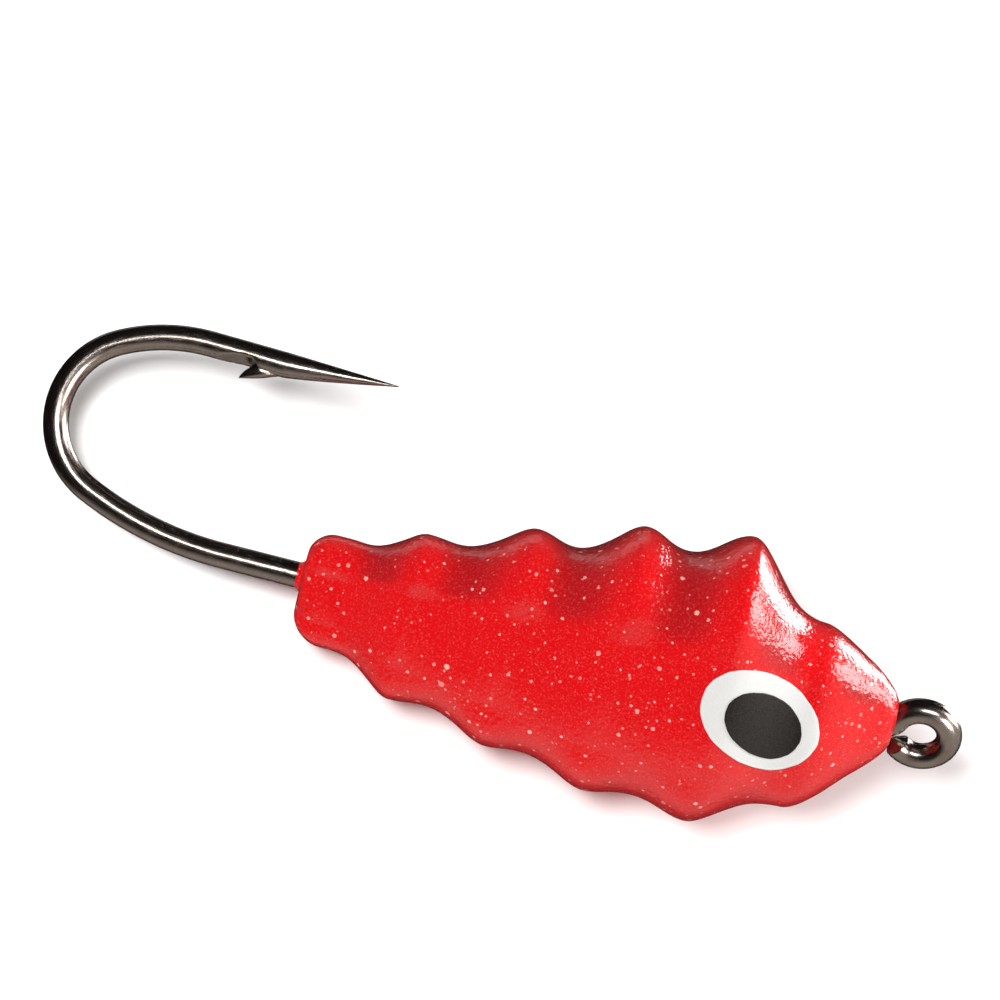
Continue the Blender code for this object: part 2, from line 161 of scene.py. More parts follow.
class JigBodySizes(bpy.types.PropertyGroup):
    """Sizes of the painted body."""

    tail_lip: length("Tail lip", "From the tail face to where the first groove starts", 0.95 * MM)
    first_ring: length("First ring", "From the tail face to the crest of the first ring", 2.80 * MM)
    ring_pitch: length("Ring pitch", "From one ring's crest to the next", 2.633 * MM)
    shoulder_gap: length("Shoulder gap", "From the last ring to the head's shoulder", 2.25 * MM)
    nose_gap: length("Nose gap", "From the shoulder to the nose's end", 2.25 * MM)
    back: lengths(
        "Back heights",
        "Height of the back above the shank at the tail lip, the rings, the shoulder and the nose",
        (1.20, 1.80, 2.60, 3.33, 3.75, 2.10, 1.20),
    )
    belly: lengths(
        "Belly depths",
        "Depth of the belly below the shank at the same places",
        (1.62, 2.45, 2.98, 3.45, 3.57, 2.63, 1.00),
    )
    flank: lengths(
        "Flank widths",
        "Half width of the body at the same places",
        (1.25, 2.12, 2.73, 3.35, 3.68, 2.38, 1.12),
    )
    back_groove: lengths(
        "Back grooves", "Depth of each groove on the back", (0.20, 0.35, 0.50, 0.51, 0.23, 0.04)
    )
    belly_groove: lengths(
        "Belly grooves", "Depth of each groove on the belly", (0.16, 0.27, 0.24, 0.24, 0.16, 0.0)
    )
    flank_groove: lengths(
        "Flank grooves", "Depth of each groove on the flanks", (0.15, 0.30, 0.36, 0.38, 0.17, 0.0)
    )
    tail_round: lengths(
        "Tail rounding",
        "Radius of the tail's edge at the back, the flanks and the belly",
        (0.60, 0.35, 0.85),
    )
    nose_round: lengths(
        "Nose rounding",
        "Radius of the nose's edge at the back, the flanks and the belly",
        (0.90, 0.35, 0.70),
    )
    squareness: bpy.props.FloatProperty(
        name="Squareness", description="Power of the section's oval: 2 is an ellipse", default=2.6
    )
    backward_taper: bpy.props.FloatProperty(
        name="Backward taper",
        description="How much wider the section is at the back",
        default=0.18,
        subtype="FACTOR",
    )


class JigHookSizes(bpy.types.PropertyGroup):
    """Sizes of the one-piece hook and its line eye."""

    wire: length("Wire", "Diameter of the wire", 0.65 * MM)
    shank: length("Bare shank", "Straight wire behind the tail face", 2.10 * MM)
    bend_radii: lengths("Bend radii", "Radius of each of the three bends", (9.0, 2.085, 4.56))
    bend_angles: bpy.props.FloatVectorProperty(
        name="Bend angles",
        description="Turn of each of the three bends",
        default=[math.radians(a) for a in (24.0, 128.0, 29.5)],
        size=3,
        subtype="EULER",
    )
    point_leg: length("Point leg", "Straight wire from the last bend to the point", 4.80 * MM)
    point_grind: length("Ground point", "Length of the point's taper", 2.90 * MM)
    point_tip: length("Tip radius", "Radius at the very tip", 0.012 * MM)
    barb_from_tip: length("Barb place", "From the barb's tip to the hook's point", 3.94 * MM)
    barb_length: length("Barb length", "Length of the raised chip", 0.80 * MM)
    barb_rise: length("Barb rise", "How far the barb's tip stands off the wire", 0.31 * MM)
    eye_radius: length("Line eye radius", "Radius of the line eye's middle line", 0.71 * MM)
    eye_standoff: length("Line eye standoff", "From the nose's end to the line eye's middle", 0.74 * MM)
    neck_radius: length("Neck radius", "Radius of the neck between the line eye and the shank", 0.38 * MM)
    tag_gap: length("Tag gap", "Gap between the pinched tag end and the neck", 0.03 * MM)
    eye_turn: angle("Line eye turn", "Turn of the line eye out of the hook's plane", 36.6)


class JigEyeSizes(bpy.types.PropertyGroup):
    """Sizes of the painted eyes."""

    white: lengths("White", "Length and height of the white oval", (3.12, 2.30))
    pupil: lengths("Pupil", "Length and height of the pupil", (2.06, 1.52))
    behind_nose: length("Behind the nose", "From the nose's end to the white's middle", 3.39 * MM)
    below_shank: length("Below the shank", "From the shank's line to the white's middle", 0.59 * MM)
    pupil_shift: lengths("Pupil shift", "The pupil's place, ahead of and below the white's", (0.10, 0.10))
    tilt: angle("Tilt", "How far the ovals dip towards the nose", 13.7)
    paint: length("Paint", "Thickness of each spot of paint", 0.035 * MM)


class JigFinish(bpy.types.PropertyGroup):
    """Colours of the finishes."""

    red: colour("Red", "The paint's colour", "#CB0D14")
    # Painted shade: this darker red goes into the grooves, mostly over the back, for the shade that falls in
    # them, and partly for paint that pools there.
    shaded_groove_red: colour("Deep red", "The paint where it pools in the grooves", "#9A1219")
    flake: colour("Flake", "The glitter's colour", "#F7BFAE")
    wire: colour("Wire", "The plating's colour", "#7C736D")
    white: colour("White", "The eye's white", "#CCCCCA")
    black: colour("Black", "The pupil", "#191614")
    floor: colour("Floor", "The floor's colour", "#FAFAFA")


# ---- The body's surface


def ease(share):
    """A smooth rise from 0 to 1 that is level at both ends: 3 s squared less 2 s cubed."""
    share = np.clip(share, 0.0, 1.0)
    return share * share * (3.0 - 2.0 * share)


def eased_between(x, places, values):
    """The values joined by smooth rises that are level at each place."""
    places, values = np.asarray(places), np.asarray(values)
    i = np.clip(np.searchsorted(places, x) - 1, 0, len(places) - 2)
    return values[i] + (values[i + 1] - values[i]) * ease((x - places[i]) / (places[i + 1] - places[i]))


def full_turn(count):
    """Evenly spaced turns round a circle."""
    return np.linspace(0.0, 2.0 * math.pi, count, endpoint=False)


def stations(body):
    """Where along the body its heights are given: tail lip, rings, shoulder and nose."""
    rings = [body.first_ring + body.ring_pitch * i for i in range(RING_COUNT)]
    shoulder = rings[-1] + body.shoulder_gap
    return np.array([body.tail_lip, *rings, shoulder, shoulder + body.nose_gap])


def groove_share(body, x):
    """0 on a ring's crest and 1 half way to the next: a squared sine, made a little fuller."""
    places = stations(body)
    i = np.clip(np.searchsorted(places, x) - 1, 0, len(places) - 2)
    turn = math.pi * np.clip((x - places[i]) / (places[i + 1] - places[i]), 0.0, 1.0)
    fuller = 0.3
    return np.sin(turn) ** 2 * (1.0 + fuller * np.cos(turn) ** 2)


def half_size(body, x, crests, grooves, ringed):
    """Half size at x: the line through the crests, less the groove's depth where ringed is 1, and less the
    whole depth where ringed is 0, so that a smooth flank runs at the bottom of the grooves."""
    places = stations(body)
    depth = eased_between(x, (places[1:] + places[:-1]) / 2, grooves)
    return eased_between(x, places, crests) - depth * (1.0 - ringed * (1.0 - groove_share(body, x)))


def half_sizes(body, x, ringed):
    """Half sizes at x of the back, the belly and the flank."""
    pairs = (
        (body.back, body.back_groove), (body.belly, body.belly_groove), (body.flank, body.flank_groove)
    )
    return [half_size(body, x, crests, grooves, ringed) for crests, grooves in pairs]


def ring_relief(height):
    """How far the rings stand out, by the share of the half height: full over the back and along the belly's
    edge, and none on the flanks. Each fade has a share where it starts and a width."""
    back_start, back_width = 0.10, 0.30
    belly_start, belly_width = 0.70, 0.25
    return np.where(
        height > 0, ease((height - back_start) / back_width), ease((-height - belly_start) / belly_width)
    )


def body_section(body, x, turn):
    """The surface at x and at a turn round the shank. The section is a squared oval, |y / flank| to the
    power n plus |z / height| to the power n equals 1, and its width grows towards the back."""
    c, s = np.cos(turn), np.sin(turn)
    n = body.squareness
    reach = (np.abs(c) ** n + np.abs(s) ** n) ** (-1.0 / n)
    height = reach * s
    ringed = ring_relief(height)
    back, belly, flank = half_sizes(body, x, ringed)
    y = flank * reach * c * (1.0 + body.backward_taper * height)
    z = np.where(height > 0, back, belly) * height
    return y, z, ringed


def flank_surface(body, x, z):
    """Distance of the smooth flank from the hook's plane: the section's formula solved for y."""
    back, belly, flank = half_sizes(body, x, np.zeros_like(x))
    height = z / np.where(z > 0, back, belly)
    across = (1.0 - np.abs(height) ** body.squareness) ** (1.0 / body.squareness)
    return flank * across * (1.0 + body.backward_taper * height)


def ripple(points, size):
    """A gentle waviness between -1 and 1: a product of sines along three slanted directions."""
    p = points / size
    one = np.sin(p @ np.array([0.9, 0.5, -0.3]) + 1.3) * np.sin(p @ np.array([-0.4, 0.8, 0.7]) + 0.4)
    two = np.sin(p @ np.array([0.3, -0.9, 0.8]) * 1.7 + 2.1) * np.sin(p @ np.array([0.8, 0.2, 0.6]) * 1.9)
    return 0.6 * one + 0.4 * two


def body_surface(body, around, along):
    """The painted body as rows of points, and at each one the share of painted shade that its groove gets.

    Between the ends a row is the section at one x. Round an end's edge a row is one step of a quarter
    circle, whose radius changes from the back over the flanks to the belly. A slight waviness is added."""
    edge_steps, fan_steps = 16, 10
    waviness, wave_size = 0.0035, 0.62 * MM
    # Painted shade: the belly's grooves get this share of the back's groove shade, as less shade falls
    # there.
    belly_shade_share = 0.3
    turn = full_turn(around)
    end = stations(body)[-1]
    s = np.sin(turn)

    def edge(sizes):
        back, flank, belly = sizes
        return flank * (1.0 - s * s) + np.where(s > 0, back, belly) * s * s

    tail, nose = edge(body.tail_round), edge(body.nose_round)
    quarter = np.linspace(0.0, math.pi / 2, edge_steps)[:, None]
    middle = np.linspace(max(body.tail_round), end - max(body.nose_round), along)[:, None]
    fan = np.linspace(0.0, 1.0, fan_steps)[1:-1, None]
    x_tail = tail * (1.0 - np.cos(quarter))
    x_tail_fan = tail + (middle[0] - tail) * fan
    x_nose = end - nose * (1.0 - np.cos(quarter[::-1]))
    x_nose_fan = middle[-1] + (end - nose - middle[-1]) * fan
    flat = np.zeros((1, around))
    x = np.concatenate([x_tail, x_tail_fan, middle + flat, x_nose_fan, x_nose])
    cut = np.concatenate(
        [
            tail * (1.0 - np.sin(quarter)),
            0.0 * x_tail_fan,
            0.0 * (middle + flat),
            0.0 * x_nose_fan,
            nose * (1.0 - np.sin(quarter[::-1])),
        ]
    )
    y, z, ringed = body_section(body, x, turn + 0.0 * x)
    keep = 1.0 - cut / np.hypot(y, z)
    rows = np.stack([x, y * keep, z * keep], axis=2)
    rows += rows * (waviness * ripple(rows, wave_size))[..., None] * np.array([0.0, 1.0, 1.0])
    # Painted shade mask: how far into a groove a point lies, in full over the back, less on the belly, and
    # none round the ends' edges.
    shade_in_grooves = groove_share(body, x) * ringed * np.where(s > 0, 1.0, belly_shade_share) * (cut == 0)
    return rows, shade_in_grooves


def end_rows(rows, wire_radius):
    """Rows that close the flat end faces: straight in from the edge, then up the shank in a fillet at the
    tail, and a low dome at the nose."""
    steps, fillet, dome_rise = 9, 0.16 * MM, 0.05 * MM
    first, last = rows[0], rows[-1]
    shrink = np.linspace(0.0, 1.0, steps)[1:, None, None]
    spoke = first[:, 1:] / np.linalg.norm(first[:, 1:], axis=1)[:, None]
    inner = np.concatenate([first[:, :1], spoke * (wire_radius + fillet)], axis=1)
    tail_face = first + (inner - first) * shrink
    bend = np.linspace(0.0, math.pi / 2, steps)[1:, None, None]
    climb_x = -fillet * (1.0 - np.cos(bend)) + 0.0 * first[None, :, :1]
    climb_r = wire_radius + fillet * (1.0 - np.sin(bend))
    climb = np.concatenate([climb_x, spoke[None] * climb_r], axis=2)
    inside = np.concatenate([climb[-1][:, :1], spoke * wire_radius * 0.5], axis=1)[None]
    dome = last * np.array([1.0, 0.0, 0.0]) + last * np.array([0.0, 1.0, 1.0]) * (1.0 - shrink)
    dome[..., 0] += dome_rise * ease(shrink[..., 0])
    return np.concatenate([inside, climb[::-1], tail_face[::-1]]), dome[:-1]


# ---- The hook's middle line


def arc(centre, radius, start, end, step=0.035):
    """Points of an arc in a plane, from one angle to another in radians, both ends included."""
    turn = np.linspace(start, end, max(3, int(abs(end - start) / step)))
    return np.stack([centre[0] + radius * np.cos(turn), centre[1] + radius * np.sin(turn)], axis=1)


def straight(start, end, step=WIRE_STEP):
    """Points of a straight run in a plane, both ends included."""
    start, end = np.array(start), np.array(end)
    count = max(3, int(np.linalg.norm(end - start) / step))
    return start + (end - start) * np.linspace(0.0, 1.0, count)[:, None]


def line_eye_path(hook, nose_x):
    """The line eye in its own plane, from the tag end round the ring and down the neck to the shank's line,
    with the wire's radius. The neck is an arc that touches the ring and the shank's line. The tag end is
    pinched thinner where it comes near the neck, with a rounded tip. Turns are in degrees."""
    tag_start, pinched_to, thinnest, rounded = 206.0, 300.0, 0.06 * MM, 4
    centre_x = nose_x + hook.eye_standoff
    reach = hook.eye_radius + hook.neck_radius
    lean = math.asin(hook.neck_radius / reach)
    neck = arc((centre_x - reach * math.cos(lean), hook.neck_radius), hook.neck_radius, -lean, -math.pi / 2)
    ring = arc((centre_x, 0.0), hook.eye_radius, math.radians(tag_start), 3.0 * math.pi - lean)
    room = np.linalg.norm(ring[:, None] - neck[None], axis=2).min(axis=1) - hook.wire / 2 - hook.tag_gap
    turn = np.linspace(tag_start, 360.0 + 180.0 - math.degrees(lean), len(ring))
    radii = np.where(turn < pinched_to, np.minimum(room, hook.wire / 2), hook.wire / 2)
    keep = radii > thinnest
    ring, radii = ring[keep], radii[keep]
    radii[:rounded] *= np.sin(np.linspace(0.15, math.pi / 2, rounded + 1))[:-1]
    path = np.concatenate([ring, neck[1:]])
    return path, np.append(radii, np.full(len(neck) - 1, hook.wire / 2))


def hook_bend(hook):
    """The hook behind the tail in its own plane, with the point leg's start and direction. Each bend is an
    arc that carries on the last one's direction."""
    x, z, heading = -hook.shank, 0.0, 0.0
    parts = [np.array([[x, z]])]
    for radius, bend in zip(hook.bend_radii, hook.bend_angles):
        turn = np.linspace(0.0, bend, max(6, int(bend * radius / WIRE_STEP)))[1:]
        run_x = x - radius * (np.sin(heading + turn) - math.sin(heading))
        run_z = z + radius * (math.cos(heading) - np.cos(heading + turn))
        parts.append(np.stack([run_x, run_z], axis=1))
        x, z = parts[-1][-1]
        heading += bend
    ahead = np.array([-math.cos(heading), math.sin(heading)])
    return np.concatenate(parts), np.array([x, z]), ahead


def point_leg_frame(hook):
    """The point leg's start, its direction and the direction out, away from the shank."""
    _, start, ahead = hook_bend(hook)
    return start, ahead, np.array([-ahead[1], ahead[0]])


def hook_line(hook, nose_x):
    """The wire's middle line, its radius and the side direction that its rings start from.

    The side direction is square to the plane that the wire bends in. It turns evenly about the shank where
    the shank is hidden in the lead, from the line eye's plane to the hook's. The point is ground on its
    inner side, so its radius shrinks in a slightly full taper and its outer edge stays nearly straight."""
    point_steps, fullness, inner_side = 90, 1.12, 0.81
    flat_eye, eye_radii = line_eye_path(hook, nose_x)
    shank = straight((flat_eye[-1][0], 0.0), (-hook.shank, 0.0))[1:]
    bend, _, _ = hook_bend(hook)
    share = np.linspace(0.0, 1.0, point_steps)
    radius = hook.wire / 2
    taper = radius + (hook.point_tip - radius) * share**fullness
    grind = hook.point_leg - hook.point_grind * (1.0 - share)
    start, ahead, out = point_leg_frame(hook)
    leg = straight(start, start + float(grind[0]) * ahead)[1:-1]
    tip = start + grind[:, None] * ahead + (inner_side * (radius - taper))[:, None] * out
    turned = np.full(len(flat_eye), hook.eye_turn)
    inside = hook.eye_turn * ease(shank[:, 0] / flat_eye[-1][0])
    flat = np.concatenate([flat_eye, shank, bend[1:], leg, tip])
    turn = np.concatenate([turned, inside, np.zeros(len(flat) - len(turned) - len(inside))])
    line = np.stack([flat[:, 0], -flat[:, 1] * np.sin(turn), flat[:, 1] * np.cos(turn)], axis=1)
    side = np.stack([0.0 * turn, -np.cos(turn), -np.sin(turn)], axis=1)
    even = np.full(len(flat) - len(eye_radii) - len(tip), radius)
    radii = np.concatenate([eye_radii, even, taper])
    return line, radii, side


# ---- Meshes


def set_mesh(name, points, quads, triangles, uv=None):
    """A mesh from arrays of points, quads and triangles, facing outwards. uv is per corner."""
    volume = 0.0
    for a, b, c in ((quads[:, 0], quads[:, 1], quads[:, 2]), (quads[:, 0], quads[:, 2], quads[:, 3])):
        volume += np.einsum("ij,ij->i", points[a], np.cross(points[b], points[c])).sum()
    if volume < 0:
        quads, triangles = quads[:, ::-1], triangles[:, ::-1]
        uv = None if uv is None else (uv[0][:, ::-1], uv[1][:, ::-1])
    mesh = bpy.data.meshes.new(name)
    corners = np.concatenate([quads.ravel(), triangles.ravel()]).astype(np.int32)
    starts = np.concatenate(
        [np.arange(len(quads)) * 4, quads.size + np.arange(len(triangles)) * 3]
    ).astype(np.int32)
    mesh.vertices.add(len(points))
    mesh.vertices.foreach_set("co", placed(points).astype(np.float32).ravel())
    mesh.loops.add(len(corners))
    mesh.loops.foreach_set("vertex_index", corners)
    mesh.polygons.add(len(starts))
    mesh.polygons.foreach_set("loop_start", starts)
    mesh.update(calc_edges=True)
    mesh.shade_smooth()
    if uv is not None:
        layer = mesh.uv_layers.new(name="UVMap")
        flat = np.concatenate([uv[0].reshape(-1, 2), uv[1].reshape(-1, 2)]).astype(np.float32)
        layer.data.foreach_set("uv", flat.ravel())
    mesh.validate()
    return mesh


def grid_corners(rows, around):
    """Corner numbers of the quads between rows that close on themselves."""
    i, j = np.meshgrid(np.arange(rows - 1), np.arange(around), indexing="ij")
    k = (j + 1) % around
    return np.stack([i * around + j, i * around + k, (i + 1) * around + k, (i + 1) * around + j], axis=2)


def lofted(name, rows, lengthwise):
    """A closed surface through rows of points, each a closed ring, with a point at the middle of each end
    row. The UV map is the turn round the piece and the distance along it in centimetres."""
    count, around, _ = rows.shape
    quads = grid_corners(count, around).reshape(-1, 4)
    points = np.concatenate([rows.reshape(-1, 3), rows[0].mean(0)[None], rows[-1].mean(0)[None]])
    j = np.arange(around)
    k = (j + 1) % around
    start, end = np.full(around, count * around), np.full(around, count * around + 1)
    last = (count - 1) * around
    triangles = np.concatenate(
        [np.stack([start, k, j], axis=1), np.stack([end, last + j, last + k], axis=1)]
    )
    v = np.asarray(lengthwise) / (10 * MM)
    i, u = np.meshgrid(np.arange(count - 1), np.arange(around) / around, indexing="ij")
    low, high, step = v[i], v[i + 1], 1.0 / around
    corners = ((u, low), (u + step, low), (u + step, high), (u, high))
    quad_uv = np.stack([np.stack(pair, axis=2) for pair in corners], axis=2)
    u = j / around
    ends = []
    for value, order in ((v[0], (0.5, 1.0, 0.0)), (v[-1], (0.5, 0.0, 1.0))):
        level = np.full(around, value)
        ends.append(np.stack([np.stack([u + o * step, level], axis=1) for o in order], axis=1))
    return set_mesh(name, points, quads, triangles, (quad_uv.reshape(-1, 4, 2), np.concatenate(ends)))


def add_piece(name, mesh, finish, slot, *nodes):
    """Puts a finished mesh in the scene: it rides on the body and stands for the CAD nodes named."""
    piece = bpy.data.objects.new(name, mesh)
    bpy.context.scene.collection.objects.link(piece)
    mesh.materials.append(finish)
    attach(piece, "root")
    if nodes:
        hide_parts(*nodes)
    return piece


# ---- Finishes


def set_sockets(tree, target, values):
    """Sets a node's inputs by name or number: an output is linked, and a plain value is set as it is."""
    for key, value in values.items():
        if isinstance(value, bpy.types.NodeSocket):
            tree.links.new(value, target.inputs[key])
        else:
            target.inputs[key].default_value = value


def node(tree, kind, inputs=None, **settings):
    """Adds a shader node of one kind with its settings, links and values."""
    made = tree.nodes.new("ShaderNode" + kind)
    for key, value in settings.items():
        setattr(made, key, value)
    set_sockets(tree, made, inputs or {})
    return made


def new_finish(name):
    """An empty material, its node tree and the object's own coordinates."""
    made = bpy.data.materials.new(name)
    made.use_nodes = True
    tree = made.node_tree
    return made, tree, node(tree, "TexCoord").outputs["Object"]


def finished(made, sockets):
    """The material with its shader's sockets linked or set."""
    set_sockets(made.node_tree, made.node_tree.nodes["Principled BSDF"], sockets)
    return made


def glitter_layer(tree, where, cell, radius, share, ragged):
    """1 on scattered flakes and 0 between them. Space is cut into cells of one size, some of which hold a
    flake near their middle, whose outline is made ragged by a finer noise."""
    shake = node(tree, "TexNoise", {"Vector": where, "Scale": 1.0 / (0.07 * MM), "Detail": 2.0})
    moved = node(
        tree,
        "VectorMath",
        {0: shake.outputs["Color"], 1: (ragged, ragged, ragged), 2: where},
        operation="MULTIPLY_ADD",
    )
    cells = node(
        tree,
        "TexVoronoi",
        {"Vector": moved.outputs[0], "Scale": 1.0 / cell, "Randomness": 1.0},
        feature="F1",
    )
    pick = node(tree, "SeparateColor", {"Color": cells.outputs["Color"]})
    chosen = node(tree, "Math", {0: pick.outputs["Red"], 1: share}, operation="LESS_THAN")
    size = node(
        tree,
        "MapRange",
        {"Value": pick.outputs["Green"], "To Min": 0.45 * radius / cell, "To Max": radius / cell},
    )
    inside = node(
        tree,
        "MapRange",
        {
            "Value": cells.outputs["Distance"],
            "From Min": size.outputs["Result"],
            "From Max": 0.0,
            "To Min": 0.0,
            "To Max": 4.0,
        },
    )
    both = node(
        tree,
        "Math",
        {0: inside.outputs["Result"], 1: chosen.outputs[0]},
        operation="MULTIPLY",
        use_clamp=True,
    )
    return both.outputs[0], pick.outputs["Blue"]


def glitter_paint(finish):
    """Dipped vinyl paint over a white base: a strong, even red with painted shade that darkens it in the
    grooves, more over the back than the belly, partly standing for paint pooled there, with chopped glitter
    of 0.04 to
    0.18 mm in it, and a thick glossy clear coat whose fine orange peel breaks the edges of every reflection."""
    made, tree, where = new_finish("dipped_glitter_paint")
    shade_in_grooves = node(tree, "Attribute", attribute_name="painted_groove_shade").outputs["Fac"]
    cloud = node(tree, "TexNoise", {"Vector": where, "Scale": 1.0 / (1.6 * MM), "Detail": 3.0})
    grain = node(tree, "TexNoise", {"Vector": where, "Scale": 1.0 / (0.05 * MM), "Detail": 3.0})
    # Painted shade: the grooves darken towards the deeper red, for shade that falls in them and partly for
    # pooled paint.
    groove_shading = node(
        tree, "MapRange", {"Value": shade_in_grooves, "From Min": 0.25, "From Max": 1.0, "To Min": 0.0, "To Max": 0.72}
    )
    uneven_and_shaded = node(
        tree,
        "Math",
        {0: cloud.outputs["Fac"], 1: 0.30, 2: groove_shading.outputs["Result"]},
        operation="MULTIPLY_ADD",
    )
    less = node(tree, "Math", {0: uneven_and_shaded.outputs[0], 1: 0.14}, operation="SUBTRACT", use_clamp=True)
    paint = node(
        tree,
        "Mix",
        {"Factor": less.outputs[0], "A": (*finish.red, 1.0), "B": (*finish.shaded_groove_red, 1.0)},
        data_type="RGBA",
    )
    tint = node(
        tree,
        "MapRange",
        {"Value": grain.outputs["Fac"], "From Min": 0.52, "From Max": 0.78, "To Min": 0.0, "To Max": 0.10},
    )
    dusty = node(
        tree,
        "Mix",
        {"Factor": tint.outputs["Result"], "A": paint.outputs["Result"], "B": (*finish.flake, 1.0)},
        data_type="RGBA",
    )
    colour_now = dusty.outputs["Result"]
    flakes = None
    # Small, middling and large flakes: cell, largest radius, share of cells that hold one, and strength.
    for cell, radius, share, strength in (
        (0.19 * MM, 0.046 * MM, 0.30, 0.42),
        (0.26 * MM, 0.064 * MM, 0.52, 0.70),
        (0.46 * MM, 0.092 * MM, 0.32, 0.78),
    ):
        flake, chance = glitter_layer(tree, where, cell, radius, share, 0.055 * MM)
        bright = node(tree, "MapRange", {"Value": chance, "To Min": 0.45 * strength, "To Max": strength})
        seen = node(tree, "Math", {0: flake, 1: bright.outputs["Result"]}, operation="MULTIPLY").outputs[0]
        mixed = node(
            tree, "Mix", {"Factor": seen, "A": colour_now, "B": (*finish.flake, 1.0)}, data_type="RGBA"
        )
        colour_now = mixed.outputs["Result"]
        flakes = seen if flakes is None else node(
            tree, "Math", {0: flakes, 1: seen}, operation="MAXIMUM"
        ).outputs[0]
    peel = node(
        tree, "TexNoise", {"Vector": where, "Scale": 1.0 / (0.13 * MM), "Detail": 2.0, "Roughness": 0.5}
    )
    swell = node(tree, "TexNoise", {"Vector": where, "Scale": 1.0 / (0.9 * MM), "Detail": 1.0})
    lumps = node(tree, "Math", {0: flakes, 1: 0.4, 2: peel.outputs["Fac"]}, operation="MULTIPLY_ADD")
    height = node(
        tree, "Math", {0: swell.outputs["Fac"], 1: 1.0, 2: lumps.outputs[0]}, operation="MULTIPLY_ADD"
    )
    bump = node(tree, "Bump", {"Strength": 1.0, "Distance": 0.025 * MM, "Height": height.outputs[0]})
    return finished(
        made,
        {
            "Base Color": colour_now,
            "Normal": bump.outputs["Normal"],
            "Coat Normal": bump.outputs["Normal"],
            "Roughness": 0.42,
            "Specular IOR Level": 0.05,
            "Coat Weight": 0.9,
            "Coat Roughness": 0.03,
            "Coat IOR": 1.45,
        },
    )


def plated_wire(finish):
    """Black-nickel plating on drawn high-carbon wire: a dark warm mirror that shows the drawing lines along
    the wire, with a fine pitted grain and a few brown stains."""
    made, tree, where = new_finish("black_nickel_plated_wire")
    along = node(tree, "UVMap", uv_map="UVMap").outputs["UV"]
    lines = node(tree, "Mapping", {"Vector": along, "Scale": (16.0, 9.0, 1.0)})
    drawn = node(tree, "TexNoise", {"Vector": lines.outputs[0], "Scale": 3.0, "Detail": 5.0})
    pits = node(tree, "TexNoise", {"Vector": where, "Scale": 1.0 / (0.045 * MM), "Detail": 4.0})
    stain = node(tree, "TexNoise", {"Vector": where, "Scale": 1.0 / (0.5 * MM), "Detail": 3.0})
    light = tuple(min(1.0, c * 1.35) for c in finish.wire)
    brown = tuple(c * f for c, f in zip(finish.wire, (0.80, 0.66, 0.62)))
    mixed = node(
        tree,
        "Mix",
        {"Factor": pits.outputs["Fac"], "A": (*finish.wire, 1.0), "B": (*light, 1.0)},
        data_type="RGBA",
    )
    stained = node(
        tree,
        "MapRange",
        {"Value": stain.outputs["Fac"], "From Min": 0.5, "From Max": 0.8, "To Min": 0.0, "To Max": 0.7},
    )
    worn = node(
        tree,
        "Mix",
        {"Factor": stained.outputs["Result"], "A": mixed.outputs["Result"], "B": (*brown, 1.0)},
        data_type="RGBA",
    )
    rough = node(
        tree,
        "MapRange",
        {"Value": drawn.outputs["Fac"], "From Min": 0.3, "From Max": 0.7, "To Min": 0.14, "To Max": 0.30},
    )
    height = node(
        tree, "Math", {0: drawn.outputs["Fac"], 1: 0.8, 2: pits.outputs["Fac"]}, operation="MULTIPLY_ADD"
    )
    bump = node(tree, "Bump", {"Strength": 0.4, "Distance": 0.004 * MM, "Height": height.outputs[0]})
    return finished(
        made,
        {
            "Base Color": worn.outputs["Result"],
            "Roughness": rough.outputs["Result"],
            "Normal": bump.outputs["Normal"],
            "Metallic": 1.0,
        },
    )


def eye_paint(name, base, speck, amount):
    """Pad-printed enamel: a flat, dense colour with a fine dust in it and a soft satin surface."""
    made, tree, where = new_finish(name)
    dust = node(tree, "TexNoise", {"Vector": where, "Scale": 1.0 / (0.035 * MM), "Detail": 4.0})
    share = node(
        tree,
        "MapRange",
        {"Value": dust.outputs["Fac"], "From Min": 0.42, "From Max": 0.72, "To Min": 0.0, "To Max": amount},
    )
    mixed = node(
        tree,
        "Mix",
        {"Factor": share.outputs["Result"], "A": (*base, 1.0), "B": (*speck, 1.0)},
        data_type="RGBA",
    )
    bump = node(tree, "Bump", {"Strength": 0.3, "Distance": 0.003 * MM, "Height": dust.outputs["Fac"]})
    return finished(
        made,
        {
            "Base Color": mixed.outputs["Result"],
            "Normal": bump.outputs["Normal"],
            "Roughness": 0.5,
            "Specular IOR Level": 0.25,
        },
    )


def hidden_finish(name, base, other, cell, metallic, roughness):
    """A cast or sprayed surface under the paint: a blotchy colour and a grainy skin."""
    made, tree, where = new_finish(name)
    blotch = node(tree, "TexNoise", {"Vector": where, "Scale": 1.0 / cell, "Detail": 4.0})
    mixed = node(
        tree,
        "Mix",
        {"Factor": blotch.outputs["Fac"], "A": (*srgb(base), 1.0), "B": (*srgb(other), 1.0)},
        data_type="RGBA",
    )
    bump = node(tree, "Bump", {"Strength": 0.4, "Distance": 0.01 * MM, "Height": blotch.outputs["Fac"]})
    return finished(
        made,
        {
            "Base Color": mixed.outputs["Result"],
            "Normal": bump.outputs["Normal"],
            "Metallic": metallic,
            "Roughness": roughness,
        },
    )


def floor_finish(finish):
    """Matt white acrylic sheet: even, with a very faint mottle."""
    made, tree, where = new_finish("matt_white_acrylic")
    mottle = node(tree, "TexNoise", {"Vector": where, "Scale": 1.0 / (8.0 * MM), "Detail": 2.0})
    dim = tuple(c * 0.985 for c in finish.floor)
    mixed = node(
        tree,
        "Mix",
        {"Factor": mottle.outputs["Fac"], "A": (*finish.floor, 1.0), "B": (*dim, 1.0)},
        data_type="RGBA",
    )
    return finished(
        made, {"Base Color": mixed.outputs["Result"], "Roughness": 0.8, "Specular IOR Level": 0.1}
    )


# ---- Operators


